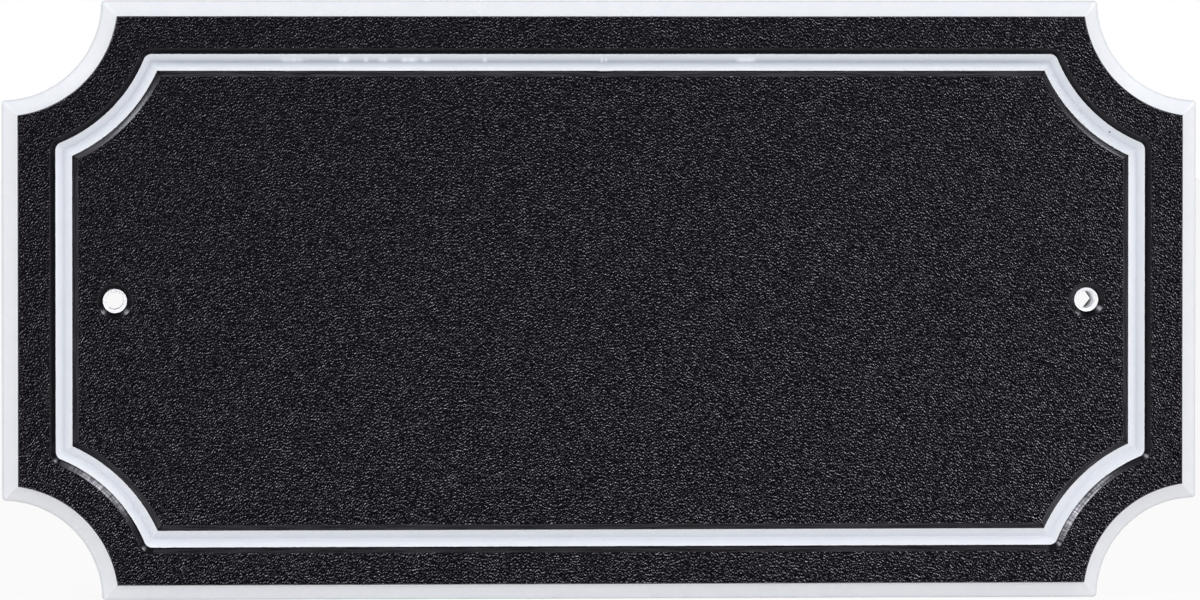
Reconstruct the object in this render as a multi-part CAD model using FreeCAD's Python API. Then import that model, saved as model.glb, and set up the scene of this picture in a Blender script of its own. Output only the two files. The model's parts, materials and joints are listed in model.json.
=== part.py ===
import FreeCAD, Part
import math
import os
from FreeCAD import Vector

os.makedirs("parts", exist_ok=True)

# House plaque routed from one black and white polyethylene sheet.
# The face looks along -Y, the length runs along X and the height along Z.
# The origin is the centre of the back face, where the plaque meets its wall.
# Lengths are in millimetres and angles in degrees.

# Sheet, from the face to the back: black skin, white core, black skin
plaque_length = 304.8
plaque_height = 152.4
sheet_thickness = 12.7
front_skin_thickness = 1.45
back_skin_thickness = 1.45

# Corner notches, round about the sharp corner of the sheet
notch_radius = 25.4

# Rim, cut square through the front skin and then sloped at 45 degrees
rim_width = 4.0
rim_below_skin = 0.2
rim_edge_break = 0.25

# V groove that follows the outline, measured from the outline to its bottom line
groove_inset = 15.7
groove_depth = 3.55
groove_angle = 90.0

# Countersunk screw holes on the centre line, measured from the two ends
hole_from_end = 28.6
screw_hole_radius = 2.2
countersink_radius = 4.5
countersink_angle = 90.0

# Every cut starts this far outside the sheet
overcut = 1.0

# Levels through the thickness
face_y = -sheet_thickness
core_front_y = face_y + front_skin_thickness
core_back_y = -back_skin_thickness
shoulder_y = core_front_y + rim_below_skin
groove_bottom_y = face_y + groove_depth

# The four corners in clockwise order, seen from the front
corner_sides = [(1, 1), (1, -1), (-1, -1), (-1, 1)]
through = Vector(0, 1, 0)


# At any inset the outline's notches stay round about the sheet's sharp corners.
# Each arc is its centre, its start and its end, clockwise.
def notch_arcs(inset):
    radius = notch_radius + inset
    reach = math.sqrt(radius ** 2 - inset ** 2)
    arcs = []
    for side_x, side_z in corner_sides:
        centre = Vector(side_x * plaque_length / 2, 0, side_z * plaque_height / 2)
        long_tip = centre - Vector(side_x * reach, 0, side_z * inset)
        short_tip = centre - Vector(side_x * inset, 0, side_z * reach)
        if side_x == side_z:
            arcs.append((centre, long_tip, short_tip))
        else:
            arcs.append((centre, short_tip, long_tip))
    return arcs


# Each arc with the straight runs beside it: where the last one began and the next one ends
def arcs_and_runs(inset):
    arcs = notch_arcs(inset)
    last_arcs = arcs[-1:] + arcs[:-1]
    next_arcs = arcs[1:] + arcs[:1]
    return [(last_arc[2], centre, start, end, next_arc[1])
            for last_arc, (centre, start, end), next_arc in zip(last_arcs, arcs, next_arcs)]


def notched_plate(inset, back_y, front_y):
    edges = []
    for _, centre, start, end, next_start in arcs_and_runs(inset):
        inward = ((start + end) * 0.5 - centre).normalize()
        middle = centre + inward * (notch_radius + inset)
        edges.append(Part.Arc(start, middle, end).toShape())
        edges.append(Part.LineSegment(end, next_start).toShape())
    face = Part.Face(Part.Wire(edges))
    face.translate(through * back_y)
    return face.extrude(through * (front_y - back_y))


def edges_at_level(solid, y):
    def lies_there(edge):
        box = edge.BoundBox
        return max(abs(box.YMin - y), abs(box.YMax - y)) < 1e-6
    return [edge for edge in solid.Edges if lies_there(edge)]


# The slope ends in the outline at rim_width, and the raised face stands on it
def rimmed_sheet():
    base = notched_plate(0, 0, shoulder_y)
    base = base.makeChamfer(rim_width, edges_at_level(base, shoulder_y))
    raised_face = notched_plate(rim_width, shoulder_y, face_y)
    raised_face = raised_face.makeFillet(rim_edge_break, edges_at_level(raised_face, face_y))
    return base.fuse(raised_face)


# Angle about the Y axis from one direction to another
def turn_between(first, second):
    across = first.z * second.x - first.x * second.z
    return math.degrees(math.atan2(across, first.dot(second)))


# The side of a clockwise run that looks out of the plaque
def outward_of_run(start, end):
    run = end - start
    return Vector(-run.z, 0, run.x).normalize()


# Section of the V cutter at a point of the groove's line, with both flanks or the outer one
def groove_section(point, outward, with_inner_flank=True):
    rise = groove_depth + overcut
    reach = rise * math.tan(math.radians(groove_angle / 2))
    bottom = point + through * groove_bottom_y
    top = bottom - through * rise
    inner = top - outward * reach if with_inner_flank else top
    outer = top + outward * reach
    return Part.Face(Part.makePolygon([bottom, inner, outer, bottom]))


# Where two runs meet, the cutter's own cone rounds the groove's outer corner
def groove_corner(point, first_outward, second_outward):
    section = groove_section(point, first_outward, with_inner_flank=False)
    return section.revolve(point, through, turn_between(first_outward, second_outward))


# The V cutter along its line: a ring on each arc, a prism on each run, a cone at each corner
def groove_cutters():
    cutters = []
    for last_end, centre, start, end, next_start in arcs_and_runs(groove_inset):
        outward_at_start = (centre - start).normalize()
        outward_at_end = (centre - end).normalize()
        ring_section = groove_section(start, outward_at_start)
        cutters.append(ring_section.revolve(centre, through, turn_between(start - centre, end - centre)))
        next_outward = outward_of_run(end, next_start)
        cutters.append(groove_section(end, next_outward).extrude(next_start - end))
        cutters.append(groove_corner(start, outward_of_run(last_end, start), outward_at_start))
        cutters.append(groove_corner(end, outward_at_end, next_outward))
    return cutters


def screw_hole_cutters():
    slope = math.tan(math.radians(countersink_angle / 2))
    sink_depth = (countersink_radius - screw_hole_radius) / slope
    mouth_radius = countersink_radius + overcut * slope
    cutters = []
    for side in (-1, 1):
        x = side * (plaque_length / 2 - hole_from_end)
        behind = Vector(x, overcut, 0)
        seat = Vector(x, face_y + sink_depth, 0)
        cutters.append(Part.makeCylinder(
            screw_hole_radius, sheet_thickness + 2 * overcut, behind, through * -1))
        cutters.append(Part.makeCone(
            screw_hole_radius, mouth_radius, sink_depth + overcut, seat, through * -1))
    return cutters


# What the routed sheet has between two levels, as its separate solids
def layer(sheet, back_y, front_y):
    corner = Vector(-plaque_length / 2 - overcut, front_y, -plaque_height / 2 - overcut)
    slab = Part.makeBox(
        plaque_length + 2 * overcut, back_y - front_y, plaque_height + 2 * overcut, corner)
    return sheet.common(slab).Solids


sheet = rimmed_sheet().cut(groove_cutters() + screw_hole_cutters())

# The groove parts the front skin into the field inside it and the border round it
front_skin = layer(sheet, core_front_y, face_y)
field, border = sorted(front_skin, key=lambda solid: solid.BoundBox.XLength)
core, = layer(sheet, core_back_y, core_front_y)
back_skin, = layer(sheet, 0, core_back_y)

nodes = {
    "field_skin": field,
    "border_skin": border,
    "white_core": core,
    "back_skin": back_skin,
}
for name, solid in nodes.items():
    solid.exportStep("parts/" + name + ".step")
    print(name, "volume mm3", round(solid.Volume, 1), "faces", len(solid.Faces), "valid", solid.isValid())
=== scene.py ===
import json
import math
import bmesh
import bpy
import numpy as np
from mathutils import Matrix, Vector
from mathutils.geometry import tessellate_polygon


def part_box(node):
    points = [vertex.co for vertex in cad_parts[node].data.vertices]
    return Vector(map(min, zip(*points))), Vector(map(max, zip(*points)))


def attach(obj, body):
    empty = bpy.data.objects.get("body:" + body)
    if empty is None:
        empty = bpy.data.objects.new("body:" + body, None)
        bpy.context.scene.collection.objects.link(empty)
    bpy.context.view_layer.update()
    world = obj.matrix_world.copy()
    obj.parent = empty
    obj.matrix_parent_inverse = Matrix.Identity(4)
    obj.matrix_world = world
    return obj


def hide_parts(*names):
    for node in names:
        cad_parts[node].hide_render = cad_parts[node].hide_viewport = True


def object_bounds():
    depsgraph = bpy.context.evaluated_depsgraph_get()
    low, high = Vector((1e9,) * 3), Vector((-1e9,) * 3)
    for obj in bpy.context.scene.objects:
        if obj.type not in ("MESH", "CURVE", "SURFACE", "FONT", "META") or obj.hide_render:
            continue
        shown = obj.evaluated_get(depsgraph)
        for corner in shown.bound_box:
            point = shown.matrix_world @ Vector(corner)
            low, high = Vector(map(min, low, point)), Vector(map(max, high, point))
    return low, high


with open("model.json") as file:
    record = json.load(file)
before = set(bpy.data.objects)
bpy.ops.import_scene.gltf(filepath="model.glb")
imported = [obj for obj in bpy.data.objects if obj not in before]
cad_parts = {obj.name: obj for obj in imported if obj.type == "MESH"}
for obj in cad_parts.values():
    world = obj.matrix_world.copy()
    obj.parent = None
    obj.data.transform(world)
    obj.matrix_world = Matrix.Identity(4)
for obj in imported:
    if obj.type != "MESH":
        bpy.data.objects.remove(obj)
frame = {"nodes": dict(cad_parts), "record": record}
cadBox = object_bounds()
mm = 0.001
print("frame loaded:", ", ".join(sorted(frame["nodes"])))


# Sizes are in millimetres. A depth is measured from the face towards the wall,
# an inset from the outline towards the middle of the plaque.
borderLow, borderHigh = (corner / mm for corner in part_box("border_skin"))
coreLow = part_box("white_core")[0] / mm
backLow, backHigh = (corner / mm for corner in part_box("back_skin"))

sheet = {
    "halfLength": backHigh.x,
    "halfHeight": backHigh.z,
    "faceY": borderLow.y,
    "skinDepth": coreLow.y - borderLow.y,      # where the black skin ends and the white core begins
    "backSkinDepth": backLow.y - borderLow.y,  # where the core ends and the back skin begins
    "thickness": backHigh.y - borderLow.y,
    "backArrisRadius": 0.2,
}
outline = {
    "notchRadius": 25.4,
    "tipRadius": 0.9,       # the outer tips are a little worn
}
rim = {
    "width": backHigh.x - borderHigh.x,
    "belowSkin": 0.2,       # the shoulder goes this far into the white
    "arrisRadius": 0.25,
    "slopeSteps": 8,
    "outerEdgeRadius": 0.5,
    "outerEdgeSteps": 6,
    "sideLoops": (0.3, 0.6, 1.0),      # on the square side below the slope, as shares of its height
}
groove = {
    "inset": 15.7,
    "depth": 3.55,
    "arrisRadius": 0.15,
    "bottomRadius": 0.12,
    "wallSteps": 6,
    "markStep": 0.4,        # how far the cutter's marks go on from one loop of the section to the next
}
screwHole = {
    "radius": frame["record"]["mounts"][2]["dims"]["r_mm"],
    "x": abs(frame["record"]["mounts"][2]["pos_m"][0]) / mm,
    "countersinkRadius": 4.5,
    "arrisRadius": 0.1,
    "seatBevel": 0.08,      # on the edge between the countersink and the bore
    # Straight lips that the drill left at the back of the right hole, for each side of the plaque:
    # the direction in degrees that each looks away from and its distance from the hole's middle
    "lips": {-1: (), 1: ((35, 1.82), (-39, 1.66))},
    "lipRise": 1.5,         # depth of white over which they grow
    "lipInCore": 0.35,      # how much of them there is where the white ends
    # The scuffed side of each countersink: how strong and in which direction
    "scuffs": {-1: (0.0, 0), 1: (0.11, 135)},
    "markRadius": 2,        # of the circle on which the drill's marks are wound
    "steps": 96,
}
# Extra loops on the flat faces keep their shading flat near the edges: distances from each edge
nearEdge = {"field": (0.3, 1.5), "shoulder": (0.5, 2.5), "flank": (2.0, 0.3), "hole": 0.5, "back": 1.0}

# Points along one line round the plaque, between its corners and on them
steps = {"fan": 8, "arc": 150, "longRun": 440, "shortRun": 110}
stepsOfRuns = [steps["shortRun"], steps["longRun"]] * 2     # clockwise from the right run


# The upper right corner at an inset, clockwise: a fan about the first tip, the notch's arc and
# a fan about the second tip. Each point comes with the direction that leads out of the plaque.
def cornerLine(inset, tipRadius):
    across = inset + tipRadius
    radius = outline["notchRadius"] + across
    reach = math.sqrt(radius ** 2 - across ** 2)
    tipAngle = math.asin(across / radius)
    corner = np.array([sheet["halfLength"], sheet["halfHeight"]])
    turns = np.linspace(0, 1, steps["fan"] + 1)
    points, outward = [], []
    for tip, start, end in (
        ((reach, across), 0, math.pi / 2 - tipAngle),
        ((across, reach), tipAngle, math.pi / 2),
    ):
        angles = start + (end - start) * turns
        directions = np.column_stack([np.sin(angles), np.cos(angles)])
        points.append(corner - tip + tipRadius * directions)
        outward.append(directions)
    angles = np.linspace(tipAngle, math.pi / 2 - tipAngle, steps["arc"] + 1)[1:-1]
    directions = np.column_stack([np.cos(angles), np.sin(angles)])
    points.insert(1, corner - (radius - tipRadius) * directions)
    outward.insert(1, directions)
    return np.concatenate(points), np.concatenate(outward)


# The whole line, clockwise from the upper right corner
def plaqueLine(inset, tipRadius=0.0):
    cornerPoints, cornerOutward = cornerLine(inset, tipRadius)
    corners = []
    for side in ((1, 1), (1, -1), (-1, -1), (-1, 1)):
        order = 1 if side[0] == side[1] else -1
        corners.append(((cornerPoints * side)[::order], (cornerOutward * side)[::order]))
    points, outward = [], []
    for here, there, runSteps in zip(corners, corners[1:] + corners[:1], stepsOfRuns):
        share = np.linspace(0, 1, runSteps + 1)[1:-1, None]
        points += [here[0], here[0][-1] + (there[0][0] - here[0][-1]) * share]
        outward += [here[1], np.repeat(here[1][-1:], runSteps - 1, axis=0)]
    return np.concatenate(points), np.concatenate(outward)


# How far along the groove each point of such a line lies
valley, _ = plaqueLine(groove["inset"])
stepLengths = np.linalg.norm(np.roll(valley, -1, axis=0) - valley, axis=1)
along = np.concatenate([[0], np.cumsum(stepLengths)[:-1]])
girth = stepLengths.sum()
aroundAngle = along / girth * 2 * math.pi


# For four stretches of one kind
nowhere, everywhere = (0,) * 4, (1,) * 4


# Values on each stretch between the tips, clockwise from the upper right notch: notch, right run,
# notch, lower run, notch, left run, notch, upper run. The tips take the third list.
def perStretch(arcs, runs, tips=nowhere):
    values = []
    for arc, run, tip, runSteps in zip(arcs, runs, tips, stepsOfRuns):
        fan = np.broadcast_to(tip, steps["fan"] + 1)
        values += [fan, np.broadcast_to(arc, steps["arc"] - 1), fan, np.full(runSteps - 1, run)]
    return np.concatenate(values).astype(float)


# Values that rise to one peak along a stretch, with its place and width as shares of the length
def peak(height, place, width, count):
    return height * np.exp(-((np.linspace(0, 1, count) - place) / width) ** 2)


# Grows from 0 at the tips to 1 at this distance from them
calmDistance = 3.0
tipPlaces = along[perStretch(nowhere, nowhere, everywhere) == 1]
gap = np.abs(along[:, None] - tipPlaces)
offTips = np.clip(np.minimum(gap, girth - gap).min(axis=1) / calmDistance, 0, 1)


# A line that wanders between -1 and 1 round the plaque and meets itself again. It is made of
# waves between the two lengths.
def wander(shortest, longest, seed, waveCount=24):
    rng = np.random.default_rng(seed)
    waves = rng.integers(max(1, int(girth / longest)), int(girth / shortest) + 1, waveCount)
    phases = rng.uniform(0, 2 * math.pi, waveCount)
    heights = rng.uniform(0.4, 1.0, waveCount)
    total = sum(h * np.sin(w * aroundAngle + p) for h, w, p in zip(heights, waves, phases))
    return total / np.abs(total).max()


# Rounds a corner of a section, given as inset and depth, and returns the points of the round
def roundedCorner(before, corner, after, radius, count=4):
    before, corner, after = (np.array(p, float) for p in (before, corner, after))
    first = (before - corner) / np.linalg.norm(before - corner)
    second = (after - corner) / np.linalg.norm(after - corner)
    half = math.acos(np.clip(first @ second, -1, 1)) / 2
    middle = (first + second) / np.linalg.norm(first + second)
    centre = corner + middle * radius / math.sin(half)
    start = corner + first * radius / math.tan(half) - centre
    end = corner + second * radius / math.tan(half) - centre
    sweep = math.atan2(start[0] * end[1] - start[1] * end[0], start @ end)
    points = []
    for share in np.linspace(0, 1, count + 1):
        c, s = math.cos(sweep * share), math.sin(sweep * share)
        points.append(centre + (start[0] * c - start[1] * s, start[0] * s + start[1] * c))
    return points


# A piece is gathered as loops of points, strips of faces between loops, and flat caps
def newShell():
    return {
        "points": [], "cutPlace": [], "scuff": [], "chatter": [], "count": 0,
        "faces": [], "finish": []}


# Each point carries its scuffs with painted light (reflections and glints on the black, shade on the white)
# and its chatter marks with their painted glint
def addLoop(shell, points, cutPlace, scuff=0.0, chatter=0.0):
    shell["points"].append(points)
    shell["cutPlace"].append(cutPlace)
    shell["scuff"].append(np.broadcast_to(scuff, len(points)))
    shell["chatter"].append(np.broadcast_to(chatter, len(points)))
    start = shell["count"]
    shell["count"] += len(points)
    return np.arange(start, shell["count"])


# A line round the plaque at a depth. Its place on the cut is kept for the cutter's marks:
# how far round, wound on a circle so that it meets itself, and how far down.
# A shift moves the points out of the plaque and a sink moves them deeper.
def addPlaqueLoop(
        shell, inset, depth, tipRadius=0.0, down=0.0, shift=0.0, sink=0.0, scuff=0.0, chatter=0.0):
    flat, outward = plaqueLine(inset, tipRadius)
    flat = flat + outward * np.broadcast_to(shift, len(flat))[:, None]
    y = np.broadcast_to(sheet["faceY"] + depth + np.asarray(sink, float), len(flat))
    winding = girth / (2 * math.pi)
    cutPlace = np.column_stack([
        np.cos(aroundAngle) * winding, np.sin(aroundAngle) * winding, np.full(len(flat), down)])
    return addLoop(shell, np.column_stack([flat[:, 0], y, flat[:, 1]]), cutPlace, scuff, chatter)


# A line round a hole: lipped and scuffed say how much it has of that hole's lips and scuffs
def addHoleLoop(shell, side, radius, depth, lipped=0.0, scuffed=0.0):
    angles = np.linspace(0, 2 * math.pi, screwHole["steps"], endpoint=False)
    edge = np.full(len(angles), screwHole["radius"])
    for direction, distance in screwHole["lips"][side]:
        across = np.cos(angles - math.radians(direction))
        edge = np.minimum(edge, distance / np.maximum(across, 0.01))    # on the lip's own side only
    radius = radius - lipped * (screwHole["radius"] - edge)
    strength, direction = screwHole["scuffs"][side]
    scuff = scuffed * strength * np.clip(np.cos(angles - math.radians(direction)), 0, 1)
    x = side * screwHole["x"] + radius * np.cos(angles)
    y = np.full(len(angles), sheet["faceY"] + depth)
    z = radius * np.sin(angles)
    winding = screwHole["markRadius"]
    cutPlace = np.column_stack([np.cos(angles) * winding, np.sin(angles) * winding, y])
    return addLoop(shell, np.column_stack([x, y, z]), cutPlace, scuff)


# Bands of faces between one loop and the next. Finish 1 is the piece's second material.
def addStrip(shell, loops, finish=0):
    for first, second in zip(loops, loops[1:]):
        quads = np.column_stack([first, np.roll(first, -1), np.roll(second, -1), second])
        shell["faces"] += quads.tolist()
        shell["finish"] += [finish] * len(quads)


# Points nearer than this, in millimetres, are one point: in a cap, and in the finished mesh
samePoint = {"cap": 1e-4, "mesh": 5e-4}
sharpAngle = 28     # in degrees: the edge between two faces that turn by more stays sharp


# A flat face inside the first loop, with the other loops as its holes
def addCap(shell, loops, finish=0):
    points = np.concatenate(shell["points"])
    kept = []
    for loop in loops:
        lengths = np.linalg.norm(points[loop] - points[np.roll(loop, 1)], axis=1)
        kept.append(loop[lengths > samePoint["cap"]])
    polygons = [[Vector((points[i][0], points[i][2], 0)) for i in loop] for loop in kept]
    numbers = np.concatenate(kept)
    for triangle in tessellate_polygon(polygons):
        shell["faces"].append([int(numbers[corner]) for corner in triangle])
        shell["finish"].append(finish)


# Makes the mesh object: it stands for a node of the frame and rides where that node does
def makePiece(shell, name, node, finishes):
    mesh = bpy.data.meshes.new(name)
    mesh.from_pydata((np.concatenate(shell["points"]) * mm).tolist(), [], shell["faces"])
    mesh.polygons.foreach_set("material_index", shell["finish"])
    cutPlace = mesh.attributes.new("cutPlace", "FLOAT_VECTOR", "POINT")
    cutPlace.data.foreach_set("vector", np.concatenate(shell["cutPlace"]).astype(np.float32).ravel())
    for mark in ("scuff", "chatter"):
        attribute = mesh.attributes.new(mark, "FLOAT", "POINT")
        attribute.data.foreach_set("value", np.concatenate(shell[mark]).astype(np.float32))
    for finish in finishes:
        mesh.materials.append(finish)
    bm = bmesh.new()
    bm.from_mesh(mesh)
    bmesh.ops.remove_doubles(bm, verts=bm.verts, dist=samePoint["mesh"] * mm)
    bmesh.ops.dissolve_degenerate(bm, edges=bm.edges, dist=samePoint["mesh"] * mm)
    bmesh.ops.recalc_face_normals(bm, faces=bm.faces)
    bm.to_mesh(mesh)
    openEdges = sum(len(edge.link_faces) != 2 for edge in bm.edges)
    bm.free()
    mesh.shade_smooth()
    mesh.set_sharp_from_angle(angle=math.radians(sharpAngle))
    piece = bpy.data.objects.new(name, mesh)
    bpy.context.scene.collection.objects.link(piece)
    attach(piece, "root")
    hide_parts(node)
    mesh.calc_loop_triangles()
    print(name, "triangles", len(mesh.loop_triangles), "open edges", openEdges)


# An sRGB hex colour as the linear one that Blender takes
def hexColour(code):
    channels = [int(code[i:i + 2], 16) / 255 for i in (1, 3, 5)]
    linear = [c / 12.92 if c <= 0.04045 else ((c + 0.055) / 1.055) ** 2.4 for c in channels]
    return (*linear, 1.0)


# Adds a node, sets its properties, and links or fills its inputs
def addNode(tree, kind, inputs=None, **settings):
    node = tree.nodes.new(kind)
    for name, value in settings.items():
        setattr(node, name, value)
    for key, value in (inputs or {}).items():
        if isinstance(value, bpy.types.NodeSocket):
            tree.links.new(value, node.inputs[key])
        else:
            node.inputs[key].default_value = value
    return node


def newMaterial(name):
    material = bpy.data.materials.new(name)
    material.use_nodes = True
    material.node_tree.nodes.clear()
    return material, material.node_tree


# Black HDPE skin as it leaves the embossing roll of the extruder, with a leather grain of pebbles. Short pale
# grey strokes on their crests are painted highlights in the base colour, with near black between them.
def grainedBlack():
    look = {
        "valley": "#040309",
        # pale grey of the highlights painted on the crests
        "crest": "#9896a0",
        "pebble": 0.52,          # height of one pebble of the grain, in millimetres
        "squeeze": 1.7,          # the pebbles are narrower than high
        "relief": 0.16,
        "crestWidth": 0.16,      # half the width of a pebble's pale crest
        "lean": 0.0027,          # how fast the painted highlights turn from upright to leaning towards both ends, as if lit from the upper left and right
        "crestRange": 0.26,      # how far the highest crest stands out from both its sides
        "crestFalloff": 2.6,
        "handled": (1.3, 0, -3.3),    # the painted highlights grow paler towards the lower right: the change over a metre
        "roughness": 0.2,
        "ior": 1.54,
        "specular": 0.02,
    }
    material, tree = newMaterial("extruded grained black HDPE")
    place = addNode(tree, "ShaderNodeTexCoord").outputs["Object"]
    inMm = addNode(tree, "ShaderNodeVectorMath", {
        0: place, 1: (look["squeeze"] / mm, 1 / mm, 1 / mm)}, operation="MULTIPLY").outputs[0]
    leaning = addNode(tree, "ShaderNodeVectorMath", {
        0: inMm, 1: (look["lean"], 0, 0), 2: (0, 0, 1)}, operation="MULTIPLY_ADD").outputs[0]
    leaning = addNode(tree, "ShaderNodeVectorMath", {0: leaning}, operation="NORMALIZE").outputs[0]
    aside = addNode(tree, "ShaderNodeVectorMath", {
        0: leaning, "Scale": look["crestWidth"]}, operation="SCALE").outputs[0]
    above, below = (
        addNode(tree, "ShaderNodeVectorMath", {0: inMm, 1: aside}, operation=way).outputs[0]
        for way in ("ADD", "SUBTRACT"))
    middle, above, below = (
        addNode(tree, "ShaderNodeTexNoise", {
            "Vector": vector, "Scale": 1.0 / look["pebble"], "Detail": 0.0}).outputs["Fac"]
        for vector in (inMm, above, below))
    beside = addNode(tree, "ShaderNodeMath", {0: above, 1: below}, operation="ADD").outputs[0]
    crest = addNode(tree, "ShaderNodeMath", {0: middle, 1: 2.0}, operation="MULTIPLY").outputs[0]
    crest = addNode(tree, "ShaderNodeMath", {0: crest, 1: beside}, operation="SUBTRACT").outputs[0]
    crest = addNode(tree, "ShaderNodeMapRange", {"Value": crest, "From Max": look["crestRange"]}).outputs[0]
    crest = addNode(tree, "ShaderNodeMath", {0: crest, 1: look["crestFalloff"]}, operation="POWER").outputs[0]
    handled = addNode(tree, "ShaderNodeVectorMath", {
        0: place, 1: look["handled"]}, operation="DOT_PRODUCT").outputs["Value"]
    handled = addNode(tree, "ShaderNodeMath", {0: handled, 1: 1.0}, operation="ADD").outputs[0]
    crest = addNode(tree, "ShaderNodeMath", {0: crest, 1: handled}, operation="MULTIPLY").outputs[0]
    colour = addNode(tree, "ShaderNodeMix", {
        "Factor": crest, "A": hexColour(look["valley"]), "B": hexColour(look["crest"])},
        data_type="RGBA", clamp_factor=False)
    grain = addNode(tree, "ShaderNodeBump", {
        "Height": middle, "Distance": look["relief"] * mm, "Strength": 1.0})
    plastic = addNode(tree, "ShaderNodeBsdfPrincipled", {
        "Base Color": colour.outputs["Result"], "Roughness": look["roughness"], "IOR": look["ior"],
        "Specular IOR Level": look["specular"], "Normal": grain.outputs[0]})
    addNode(tree, "ShaderNodeOutputMaterial", {"Surface": plastic.outputs[0]})
    return material


# Black HDPE as the V cutter leaves it: smooth and satin along the straight runs, scuffed grey in
# the notches with painted reflections of the lamps, and cross marks where the cutter chattered in the two
# lower ones, painted bright as glints
def routedBlack():
    look = {
        "colour": "#040407",
        # grey of the scuffs and of the painted reflections and glints
        "scuffed": "#7d7c83",
        "sheen": "#eeeeff",
        "chatterPitch": 0.3,            # distance between two cross marks, in millimetres
        "chatterSlant": 0.15,
        "chatterNoise": (0.36, 0.66),   # this range of the noise
        "chatterTone": (0.55, 2.6),     # becomes this range of painted glint brightness
        "feedPitch": 0.35,              # distance between two lines along the cut
        "feedLength": 0.04,             # how slowly they change along it
        "feedNoise": (0.35, 0.65),
        "feedTone": (0.35, 1.65),
        "markHeight": 0.012,
        "chatterHeight": 0.06,
        "roughness": (0.22, 0.5),       # clean and scuffed
        "ior": 1.54,
        "specular": 0.25,
    }
    material, tree = newMaterial("routed black HDPE")
    place = addNode(tree, "ShaderNodeAttribute", attribute_name="cutPlace").outputs["Vector"]
    scuff = addNode(tree, "ShaderNodeAttribute", attribute_name="scuff").outputs["Fac"]
    chatter = addNode(tree, "ShaderNodeAttribute", attribute_name="chatter").outputs["Fac"]
    squashed = addNode(tree, "ShaderNodeVectorMath", {
        0: place, 1: (1, 1, look["chatterSlant"])}, operation="MULTIPLY").outputs[0]
    marks = addNode(tree, "ShaderNodeTexNoise", {
        "Vector": squashed, "Scale": 1.0 / look["chatterPitch"], "Detail": 1.0}).outputs["Fac"]
    stripes = addNode(tree, "ShaderNodeMapRange", {
        "Value": marks, "From Min": look["chatterNoise"][0], "From Max": look["chatterNoise"][1],
        "To Min": look["chatterTone"][0], "To Max": look["chatterTone"][1]}).outputs[0]
    alongCut = addNode(tree, "ShaderNodeVectorMath", {
        0: place, 1: (look["feedLength"], look["feedLength"], 1)}, operation="MULTIPLY").outputs[0]
    lines = addNode(tree, "ShaderNodeTexNoise", {
        "Vector": alongCut, "Scale": 1.0 / look["feedPitch"], "Detail": 1.0}).outputs["Fac"]
    lines = addNode(tree, "ShaderNodeMapRange", {
        "Value": lines, "From Min": look["feedNoise"][0], "From Max": look["feedNoise"][1],
        "To Min": look["feedTone"][0], "To Max": look["feedTone"][1]}).outputs[0]
    uneven = addNode(tree, "ShaderNodeMix", {
        "Factor": chatter, "A": 1.0, "B": stripes}, clamp_factor=True).outputs["Result"]
    tone = addNode(tree, "ShaderNodeMath", {0: scuff, 1: uneven}, operation="MULTIPLY").outputs[0]
    tone = addNode(tree, "ShaderNodeMath", {0: tone, 1: lines}, operation="MULTIPLY").outputs[0]
    colour = addNode(tree, "ShaderNodeMix", {
        "Factor": tone, "A": hexColour(look["colour"]), "B": hexColour(look["scuffed"])},
        data_type="RGBA", clamp_factor=False)
    height = addNode(tree, "ShaderNodeMapRange", {
        "Value": chatter, "To Min": look["markHeight"] * mm, "To Max": look["chatterHeight"] * mm})
    feed = addNode(tree, "ShaderNodeBump", {
        "Height": marks, "Distance": height.outputs[0], "Strength": 1.0})
    rough = addNode(tree, "ShaderNodeMapRange", {
        "Value": scuff, "To Min": look["roughness"][0], "To Max": look["roughness"][1]})
    plastic = addNode(tree, "ShaderNodeBsdfPrincipled", {
        "Base Color": colour.outputs["Result"], "Roughness": rough.outputs[0], "IOR": look["ior"],
        "Specular IOR Level": look["specular"], "Specular Tint": hexColour(look["sheen"]),
        "Normal": feed.outputs[0]})
    addNode(tree, "ShaderNodeOutputMaterial", {"Surface": plastic.outputs[0]})
    return material
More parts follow.
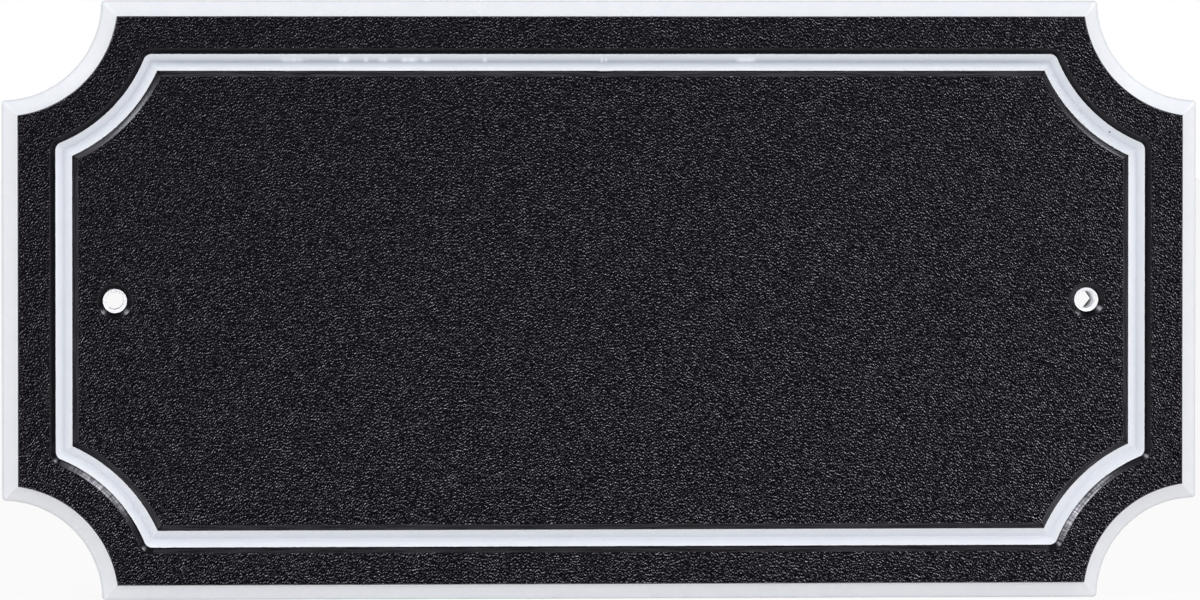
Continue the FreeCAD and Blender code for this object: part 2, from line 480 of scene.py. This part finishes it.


# White HDPE as the cutters leave it: a cool, waxy white with faint marks along the cut, and painted
# shade that greys it towards the bottom of the groove, on the groove's walls and at the sheet's edge.
# The screw holes take a brighter white, painted light in the holes.
def cutWhite(name, colour, patch):
    look = {
        # the grey of the painted shade
        "dusty": "#a9b0bb",
        "markPitch": 0.5,            # distance between two marks along the cut, in millimetres
        "markLength": 0.12,          # how slowly they change along it
        "markHeight": 0.016,
        "patchSize": 2.5,
        "pore": (129.9, 42.75),      # a pore in the groove of the upper right notch, X and Z
        "poreRadius": (0.18, 0.3),   # of its dark middle and of its edge
        "poreShade": "#272727",
        "poreDarkness": 0.9,
        "roughness": 0.5,
        "ior": 1.54,
        "specular": 0.4,
    }
    material, tree = newMaterial(name)
    place = addNode(tree, "ShaderNodeAttribute", attribute_name="cutPlace").outputs["Vector"]
    paintedShadeAndSmears = addNode(tree, "ShaderNodeAttribute", attribute_name="scuff").outputs["Fac"]
    stretched = addNode(tree, "ShaderNodeVectorMath", {
        0: place, 1: (look["markLength"], look["markLength"], 1)}, operation="MULTIPLY").outputs[0]
    marks = addNode(tree, "ShaderNodeTexNoise", {
        "Vector": stretched, "Scale": 1.0 / look["markPitch"], "Detail": 3.0}).outputs["Fac"]
    feed = addNode(tree, "ShaderNodeBump", {
        "Height": marks, "Distance": look["markHeight"] * mm, "Strength": 1.0})
    patches = addNode(tree, "ShaderNodeTexNoise", {
        "Vector": place, "Scale": 1.0 / look["patchSize"], "Detail": 3.0}).outputs["Fac"]
    colour = addNode(tree, "ShaderNodeMix", {
        "Factor": patches, "A": hexColour(colour), "B": hexColour(patch)}, data_type="RGBA")
    colour = addNode(tree, "ShaderNodeMix", {
        "Factor": paintedShadeAndSmears, "A": colour.outputs["Result"], "B": hexColour(look["dusty"])},
        data_type="RGBA", clamp_factor=False)
    pore = Vector((look["pore"][0], 0, look["pore"][1])) * mm
    onPlaque = addNode(tree, "ShaderNodeTexCoord").outputs["Object"]
    flat = addNode(tree, "ShaderNodeVectorMath", {0: onPlaque, 1: (1, 0, 1)}, operation="MULTIPLY").outputs[0]
    away = addNode(tree, "ShaderNodeVectorMath", {0: flat, 1: pore}, operation="DISTANCE").outputs["Value"]
    inside = addNode(tree, "ShaderNodeMapRange", {
        "Value": away, "From Min": look["poreRadius"][0] * mm, "From Max": look["poreRadius"][1] * mm,
        "To Min": look["poreDarkness"], "To Max": 0.0}).outputs[0]
    colour = addNode(tree, "ShaderNodeMix", {
        "Factor": inside, "A": colour.outputs["Result"], "B": hexColour(look["poreShade"])},
        data_type="RGBA")
    plastic = addNode(tree, "ShaderNodeBsdfPrincipled", {
        "Base Color": colour.outputs["Result"], "Roughness": look["roughness"], "IOR": look["ior"],
        "Specular IOR Level": look["specular"], "Normal": feed.outputs[0]})
    addNode(tree, "ShaderNodeOutputMaterial", {"Surface": plastic.outputs[0]})
    return material


grained = grainedBlack()
routed = routedBlack()
white = cutWhite("routed white HDPE", "#eaecf1", "#e2e6ee")
# The screw holes' white is painted brighter, standing in for light that reaches into them
drilled = cutWhite("drilled white HDPE", "#fbfcff", "#f4f6fb")
print("materials made")


# Where the groove's flanks are at a depth, as inset and tip radius
def outerFlank(depth):
    rise = groove["depth"] - depth
    return groove["inset"] - rise, rise


def innerFlank(depth):
    return groove["inset"] + groove["depth"] - depth, 0.0


# Traces of the cut with painted light and shade on them, clockwise from the upper right notch and the run
# after it
cutMarks = {
    # Scuffs on the black flanks, with painted reflections of the lamps in the same grey: the inner arcs have
    # one value at each of their ends
    "innerArcs": ((0.115, 0.085), (0.12, 0.14), (0.17, 0.02), (0.2, 0.05)),
    "innerRuns": (0.09, 0.09, 0.08, 0.12),
    "outerArcs": (0.04, 0.05, 0.04, 0.03),
    "outerRuns": (0.0, 0.08, 0.0, 0.0),
    "lowerRight": (1.0, 0.655, 0.28),      # chatter in the lower notches, painted bright as the lamps' glint: strength, place and width
    "lowerLeft": (0.95, 0.6, 0.24),
    "fullChatter": 0.3,                    # from this strength on the cross marks have their full depth and full painted glint
    "fadeFrom": 0.6,                       # share of the black's depth where the scuffs and painted reflections begin to fade
    "besideWhite": 0.15,                   # what is left of them where the black ends
    "arris": 0.16,                         # a painted highlight, beaded by the chatter marks, on the edge beside the rim
    "edgeWander": 0.05,                    # how far the edge of the white strays along the flanks
    "wanderLengths": (1.2, 30),            # its shortest and longest waves
    # Painted shade on the white, on the arcs and on the runs: at the groove's bottom and on its outer and
    # inner walls
    "valleyDust": ((0.43, 0.28, 0.43, 0.5), (0.36, 0.45, 0.4, 1.0)),
    "outerDust": ((0.29, 0.1, 0.0, 0.32), (0.2, 0.0, 0.0, 0.22)),
    "innerDust": ((0.17, 0.03, 0.03, 0.08), (0.0, 0.0, 0.13, 0.0)),
    # painted shade at the sheet's outer edge: how dark, and how far in it reaches
    "edgeDust": 0.35,
    "edgeDustWidth": 0.6,
}
chatter = {
    1: peak(*cutMarks["lowerRight"], steps["arc"] - 1),
    2: peak(*cutMarks["lowerLeft"], steps["arc"] - 1),
}
innerScuffAndReflection = perStretch(
    [np.linspace(*ends, steps["arc"] - 1) for ends in cutMarks["innerArcs"]], cutMarks["innerRuns"])
outerScuffAndGlint = perStretch(
    [scuff + chatter.get(notch, 0) for notch, scuff in enumerate(cutMarks["outerArcs"])],
    cutMarks["outerRuns"])
outerChatterGlint = perStretch([chatter.get(notch, 0) for notch in range(4)], nowhere)
outerChatterGlint = np.clip(outerChatterGlint / cutMarks["fullChatter"], 0, 1)
outerEdge = cutMarks["edgeWander"] * wander(*cutMarks["wanderLengths"], 3) * offTips
innerEdge = cutMarks["edgeWander"] * wander(*cutMarks["wanderLengths"], 4) * offTips

# Where the cutter went in and came out again, in the middle of the upper run
startMark = {"x": 0.7, "dimple": 0.16, "dimpleWidth": 0.45, "bulge": 0.1, "bulgeWidth": 1.7}
onUpperRun = perStretch(nowhere, (0, 0, 0, 1)) == 1
fromMark = valley[:, 0] - startMark["x"]
dimple = startMark["dimple"] * onUpperRun * np.exp(-(fromMark / startMark["dimpleWidth"]) ** 2)
bulge = startMark["bulge"] * onUpperRun * np.exp(-(fromMark / startMark["bulgeWidth"]) ** 4)

# Pale smears and nicks on the upper wall of the upper run: from and to along X, and how strong
smears = [
    (-81.3, -76.2, 0.6), (-66.8, -64.2, 0.8), (-60.4, -59.4, 0.9), (-56.9, -54.6, 0.7),
    (-51.0, -47.0, 0.9), (-45.7, -43.7, 0.7), (-30.2, -29.2, 0.9), (-0.3, 0.3, 1.0), (1.0, 1.5, 1.0),
    (34.5, 39.1, 0.8),
]
smearLook = {
    "paleness": 0.5,           # less than no painted shade: paler than the clean white beside them
    "height": 0.3,             # share of the way from the groove's bottom up to the black
    "spread": 0.3,             # how far they reach up and down from there, as such a share
    "streaks": (0.6, 2.5),     # shortest and longest, in millimetres
    "streakDepth": 0.4,
}
smeared = np.zeros(len(valley))
for low, high, strength in smears:
    middle, half = (low + high) / 2, (high - low) / 2
    smeared = np.maximum(smeared, strength * onUpperRun * np.exp(-((valley[:, 0] - middle) / half) ** 6))
smeared *= 1 + smearLook["streakDepth"] * (wander(*smearLook["streaks"], 5) - 1)


# Painted shade that changes little by little over the tips, where one stretch meets the next: the reach
# is in points of the line
def eased(values, reach=25):
    window = np.hanning(2 * reach + 1)
    wrapped = np.concatenate([values[-reach:], values, values[:reach]])
    return np.convolve(wrapped, window / window.sum(), "valid")


valleyDust, outerDust, innerDust = (
    eased(perStretch(arcs, runs, arcs))
    for arcs, runs in (cutMarks[wall] for wall in ("valleyDust", "outerDust", "innerDust")))

# A rounded corner's sides only give their directions, so any point this far along them will do
farther = 5


# The same section in both screw holes, as radius, depth and how lipped it is
def holeLoops(shell, section, scuffed=0.0):
    return [[addHoleLoop(shell, side, *place, scuffed=scuffed) for place in section] for side in (-1, 1)]


# Front skin inside the groove, with the two countersinks
def buildField():
    shell = newShell()
    skin = sheet["skinDepth"]
    top = innerFlank(0)[0]
    low = innerFlank(skin)[0]
    arris = roundedCorner((low, skin), (top, 0), (top + farther, 0), groove["arrisRadius"])
    stray = innerEdge - bulge
    wall = [addPlaqueLoop(shell, low, skin, shift=stray, sink=stray, down=-skin, scuff=innerScuffAndReflection)]
    wall += [
        addPlaqueLoop(shell, inset, depth, down=-depth, shift=-bulge, scuff=innerScuffAndReflection)
        for inset, depth in arris]
    addStrip(shell, wall, finish=1)
    face = [wall[-1]]
    face += [addPlaqueLoop(shell, arris[-1][0] + more, 0.0, shift=-bulge) for more in nearEdge["field"]]
    addStrip(shell, face)
    mouth = screwHole["countersinkRadius"]
    lip = roundedCorner((mouth + farther, 0), (mouth, 0), (mouth - skin, skin), screwHole["arrisRadius"])
    section = [(mouth + nearEdge["hole"], 0)] + [tuple(p) for p in lip] + [(mouth - skin, skin)]
    holes = holeLoops(shell, section, scuffed=1.0)
    for hole in holes:
        addStrip(shell, hole[:2])
        addStrip(shell, hole[1:], finish=1)
    addCap(shell, [face[-1]] + [hole[0] for hole in holes])
    addCap(shell, [wall[0]] + [hole[-1] for hole in holes], finish=1)
    makePiece(shell, "fieldSkin", "field_skin", [grained, routed])


# Front skin between the groove and the rim
def buildBorder():
    shell = newShell()
    skin = sheet["skinDepth"]
    width = rim["width"]
    shoulder = roundedCorner((width, skin), (width, 0), (width + farther, 0), rim["arrisRadius"])
    top = outerFlank(0)[0]
    arris = roundedCorner((top - farther, 0), (top, 0), (outerFlank(skin)[0], skin), groove["arrisRadius"])
    outerWall = [addPlaqueLoop(shell, width, skin, down=-skin)]
    outerWall += [
        addPlaqueLoop(shell, inset, depth, down=-depth, scuff=cutMarks["arris"], chatter=1.0)
        for inset, depth in shoulder]
    flank = [
        addPlaqueLoop(
            shell, inset, depth, groove["inset"] - inset, down=-depth, scuff=outerScuffAndGlint,
            chatter=outerChatterGlint)
        for inset, depth in arris]
    fading = skin * cutMarks["fadeFrom"]
    flank.append(addPlaqueLoop(
        shell, outerFlank(fading)[0], fading, outerFlank(fading)[1], down=-fading, scuff=outerScuffAndGlint,
        chatter=outerChatterGlint))
    flank.append(addPlaqueLoop(
        shell, outerFlank(skin)[0], skin, outerFlank(skin)[1], down=-skin, shift=outerEdge,
        sink=-outerEdge, scuff=outerScuffAndGlint * cutMarks["besideWhite"], chatter=outerChatterGlint))
    face = [outerWall[-1]]
    face += [addPlaqueLoop(shell, shoulder[-1][0] + more, 0.0) for more in nearEdge["shoulder"]]
    face += [
        addPlaqueLoop(shell, arris[0][0] - less, 0.0, groove["inset"] - arris[0][0] + less)
        for less in nearEdge["flank"]]
    face += [flank[0]]
    addStrip(shell, outerWall, finish=1)
    addStrip(shell, face)
    addStrip(shell, flank, finish=1)
    addStrip(shell, [flank[-1], outerWall[0]], finish=1)
    makePiece(shell, "borderSkin", "border_skin", [grained, routed])


# White middle of the sheet: the rim's slope, the sides, the groove's bottom and the holes
def buildCore():
    shell = newShell()
    skin = sheet["skinDepth"]
    back = sheet["backSkinDepth"]
    width = rim["width"]
    shoulderDepth = skin + rim["belowSkin"]
    slopeEnd = shoulderDepth + width
    edge = roundedCorner(
        (width, shoulderDepth), (0, slopeEnd), (0, back), rim["outerEdgeRadius"], rim["outerEdgeSteps"])
    slopeStart = np.array([width, shoulderDepth])
    section = [(width, skin), (width, shoulderDepth)]
    for share in np.linspace(0, 1, rim["slopeSteps"] + 1)[1:]:
        section.append(tuple(slopeStart + (edge[0] - slopeStart) * share))
    section += [tuple(p) for p in edge[1:]]
    section += [(0, slopeEnd + (back - slopeEnd) * share) for share in rim["sideLoops"]]
    # Painted shade darkens the slope towards the sheet's outer edge
    outside = [
        addPlaqueLoop(
            shell, inset, depth, outline["tipRadius"] * (1 - inset / width), down=-depth,
            scuff=cutMarks["edgeDust"] * max(0.0, 1 - inset / cutMarks["edgeDustWidth"]) ** 0.5)
        for inset, depth in section]
    bottom = roundedCorner(
        (outerFlank(skin)[0], skin), (groove["inset"], groove["depth"]), (innerFlank(skin)[0], skin),
        groove["bottomRadius"])
    outerDepths = np.linspace(skin, bottom[0][1], groove["wallSteps"] + 1)[:-1]
    innerDepths = np.linspace(bottom[-1][1], skin, groove["wallSteps"] + 1)[1:]
    section = [(outerFlank(depth)[0], depth) for depth in outerDepths]
    section += [tuple(p) for p in bottom]
    section += [(innerFlank(depth)[0], depth) for depth in innerDepths]
    cut = []
    for number, (inset, depth) in enumerate(section):
        above = (groove["depth"] - depth) / (groove["depth"] - skin)
        # painted shade, darker towards the bottom of the groove
        paintedShadeAndSmears = valleyDust * (1 - above) ** 2
        down = number * groove["markStep"]
        if inset < groove["inset"]:
            smear = smeared * math.exp(-((above - smearLook["height"]) / smearLook["spread"]) ** 2)
            paintedShadeAndSmears = (paintedShadeAndSmears + outerDust) * (1 - smear) - smearLook["paleness"] * smear
            stray = outerEdge * above
            cut.append(addPlaqueLoop(
                shell, inset, depth, groove["inset"] - inset, down=down,
                shift=stray, sink=dimple * (1 - above) - stray, scuff=paintedShadeAndSmears))
        else:
            stray = innerEdge * above
            cut.append(addPlaqueLoop(
                shell, inset, depth, down=down,
                shift=stray - bulge, sink=dimple * (1 - above) + stray, scuff=paintedShadeAndSmears + innerDust))
    addStrip(shell, outside)
    addStrip(shell, [outside[0], cut[0]])
    addStrip(shell, cut)
    radius = screwHole["radius"]
    mouth = screwHole["countersinkRadius"]
    seat = mouth - radius
    bevel = screwHole["seatBevel"]
    holes = holeLoops(shell, [
        (mouth - skin, skin), (radius + bevel, seat - bevel), (radius, seat + bevel),
        (radius, back - screwHole["lipRise"]), (radius, back, screwHole["lipInCore"])])
    for hole in holes:
        addStrip(shell, hole, finish=1)
    addCap(shell, [cut[-1]] + [hole[0] for hole in holes])
    addCap(shell, [outside[-1]] + [hole[-1] for hole in holes])
    makePiece(shell, "whiteCore", "white_core", [white, drilled])


# Back skin, with the same grain as the face
def buildBack():
    shell = newShell()
    top = sheet["backSkinDepth"]
    bottom = sheet["thickness"]
    edge = roundedCorner((0, top), (0, bottom), (farther, bottom), sheet["backArrisRadius"])
    tip = outline["tipRadius"]
    side = [addPlaqueLoop(shell, inset, depth, tip, down=-depth) for inset, depth in [(0, top)] + edge]
    addStrip(shell, side, finish=1)
    face = [side[-1], addPlaqueLoop(shell, nearEdge["back"], bottom, tip)]
    addStrip(shell, face)
    radius = screwHole["radius"]
    arris = screwHole["arrisRadius"]
    lip = roundedCorner((radius, top), (radius, bottom), (radius + farther, bottom), arris)
    section = [(radius, top, screwHole["lipInCore"]), (radius, top + arris, 1)]
    section += [(*p, 1) for p in lip] + [(radius + nearEdge["hole"], bottom)]
    holes = holeLoops(shell, section)
    for hole in holes:
        addStrip(shell, hole[:-1], finish=1)
        addStrip(shell, hole[-2:])
    addCap(shell, [face[-1]] + [hole[-1] for hole in holes])
    addCap(shell, [side[0]] + [hole[0] for hole in holes], finish=1)
    makePiece(shell, "backSkin", "back_skin", [grained, routed])


buildField()
buildBorder()
buildCore()
buildBack()
print("plaque built")


# The room, in metres: a pale floor that the plaque stands on, and a white backdrop a long way
# behind it. What the camera sees of each is given, where 1 is white.
room = {
    "colour": "#f6f2ee",
    "floorSize": 24.0,
    "floorShown": 0.92,
    "backdropDistance": 9.0,
    "backdropSize": 10.0,
    "backdropShown": 1.0,
}


# A matt surface for the light, and a plain even one for the camera and in reflections
def paleSurface(name, shown):
    material, tree = newMaterial(name)
    path = addNode(tree, "ShaderNodeLightPath")
    sight = addNode(tree, "ShaderNodeMath", {
        0: path.outputs["Is Camera Ray"], 1: path.outputs["Is Glossy Ray"]}, operation="MAXIMUM")
    sight = addNode(tree, "ShaderNodeMath", {
        0: sight.outputs[0], 1: path.outputs["Is Transmission Ray"]}, operation="MAXIMUM")
    sight = addNode(tree, "ShaderNodeMath", {0: sight.outputs[0], 1: shown}, operation="MULTIPLY")
    matt = addNode(tree, "ShaderNodeBsdfDiffuse", {"Color": hexColour(room["colour"])})
    plain = addNode(tree, "ShaderNodeEmission", {"Color": (1, 1, 1, 1), "Strength": 1.0})
    mixed = addNode(tree, "ShaderNodeMixShader", {
        0: sight.outputs[0], 1: matt.outputs[0], 2: plain.outputs[0]})
    addNode(tree, "ShaderNodeOutputMaterial", {"Surface": mixed.outputs[0]})
    return material


def addPlane(name, size, place, turn, material):
    mesh = bpy.data.meshes.new(name)
    half = size / 2
    corners = [(-half, -half, 0), (half, -half, 0), (half, half, 0), (-half, half, 0)]
    mesh.from_pydata(corners, [], [(0, 1, 2, 3)])
    mesh.materials.append(material)
    plane = bpy.data.objects.new(name, mesh)
    plane.location = place
    plane.rotation_euler = turn
    bpy.context.scene.collection.objects.link(plane)


addPlane(
    "floor", room["floorSize"], (0, 0, cadBox[0].z), (0, 0, 0),
    paleSurface("pale floor", room["floorShown"]))
addPlane(
    "backdrop", room["backdropSize"], (0, room["backdropDistance"], 0), (math.pi / 2, 0, 0),
    paleSurface("white backdrop", room["backdropShown"]))

faceCentre = Vector((0, cadBox[0].y, 0))


# From the face to a lamp or the camera: azimuth to the right and elevation upwards, in degrees
def directionTo(azimuth, elevation):
    turn, lift = math.radians(azimuth), math.radians(elevation)
    return Vector((
        math.sin(turn) * math.cos(lift), -math.cos(turn) * math.cos(lift), math.sin(lift)))


# Softboxes round the face: azimuth, elevation, width and height in metres, and the radiance
lamps = {
    "upperLeft": (-48, 40, 1.0, 1.0, 1.3),
    "upperRight": (48, 40, 1.0, 1.0, 1.5),
    "lowerLeft": (-34, 5, 1.2, 0.55, 4.8),
    "lowerRight": (34, 5, 1.2, 0.55, 5.1),
}
# Two small ones nearly level with the face, for the glints on the cut slopes: they light no colour
glints = {
    "leftStrip": (-76, 39, 0.34, 0.34, 22.0),
    "rightStrip": (77, 45, 0.34, 0.34, 19.0),
}
lampDistance = 1.4


def addLamp(name, azimuth, elevation, width, height, radiance):
    light = bpy.data.lights.new(name, "AREA")
    light.shape = "RECTANGLE"
    light.size = width
    light.size_y = height
    light.energy = radiance * math.pi * width * height
    lamp = bpy.data.objects.new(name, light)
    towards = directionTo(azimuth, elevation)
    lamp.location = faceCentre + towards * lampDistance
    lamp.rotation_euler = towards.to_track_quat("Z", "Y").to_euler()
    lamp.visible_camera = False
    bpy.context.scene.collection.objects.link(lamp)
    return lamp


for name, settings in lamps.items():
    addLamp(name, *settings)
for name, settings in glints.items():
    addLamp(name, *settings).visible_diffuse = False


# Light from all round, dim where the camera stands and brighter at the sides
surroundings = {
    "front": 0.03,
    "sides": 0.4,
    "frontAngle": 50,      # degrees from the face's own direction
    "sideAngle": 88,
}
world = bpy.data.worlds.new("studio")
world.use_nodes = True
bpy.context.scene.world = world
tree = world.node_tree
tree.nodes.clear()
direction = addNode(tree, "ShaderNodeSeparateXYZ", {
    0: addNode(tree, "ShaderNodeTexCoord").outputs["Generated"]})
brightness = addNode(tree, "ShaderNodeMapRange", {
    "Value": direction.outputs["Y"],
    "From Min": -math.cos(math.radians(surroundings["frontAngle"])),
    "From Max": -math.cos(math.radians(surroundings["sideAngle"])),
    "To Min": surroundings["front"], "To Max": surroundings["sides"]}, interpolation_type="SMOOTHSTEP")
sky = addNode(tree, "ShaderNodeBackground", {
    "Color": (1, 1, 1, 1), "Strength": brightness.outputs[0]})
addNode(tree, "ShaderNodeOutputWorld", {"Surface": sky.outputs[0]})
print("room and lamps set")


# The camera stands a little to the left and a little above, a long way off
view = {
    "azimuth": -3.6,
    "elevation": 1.45,
    "distance": 2.3,
    "lens": 271.4,
    "aim": (-0.00065, 0.0001),   # metres off the middle of the face, along X and Z
}
camera = bpy.data.objects.new("camera", bpy.data.cameras.new("camera"))
towards = directionTo(view["azimuth"], view["elevation"])
aim = Vector((view["aim"][0], 0, view["aim"][1]))
camera.location = faceCentre + towards * view["distance"] + aim
camera.rotation_euler = towards.to_track_quat("Z", "Y").to_euler()
camera.data.lens = view["lens"]
camera.data.sensor_width = 36
camera.data.clip_start = 0.1
camera.data.clip_end = 100
bpy.context.scene.collection.objects.link(camera)
bpy.context.scene.camera = camera
bpy.context.scene.view_settings.view_transform = "Standard"
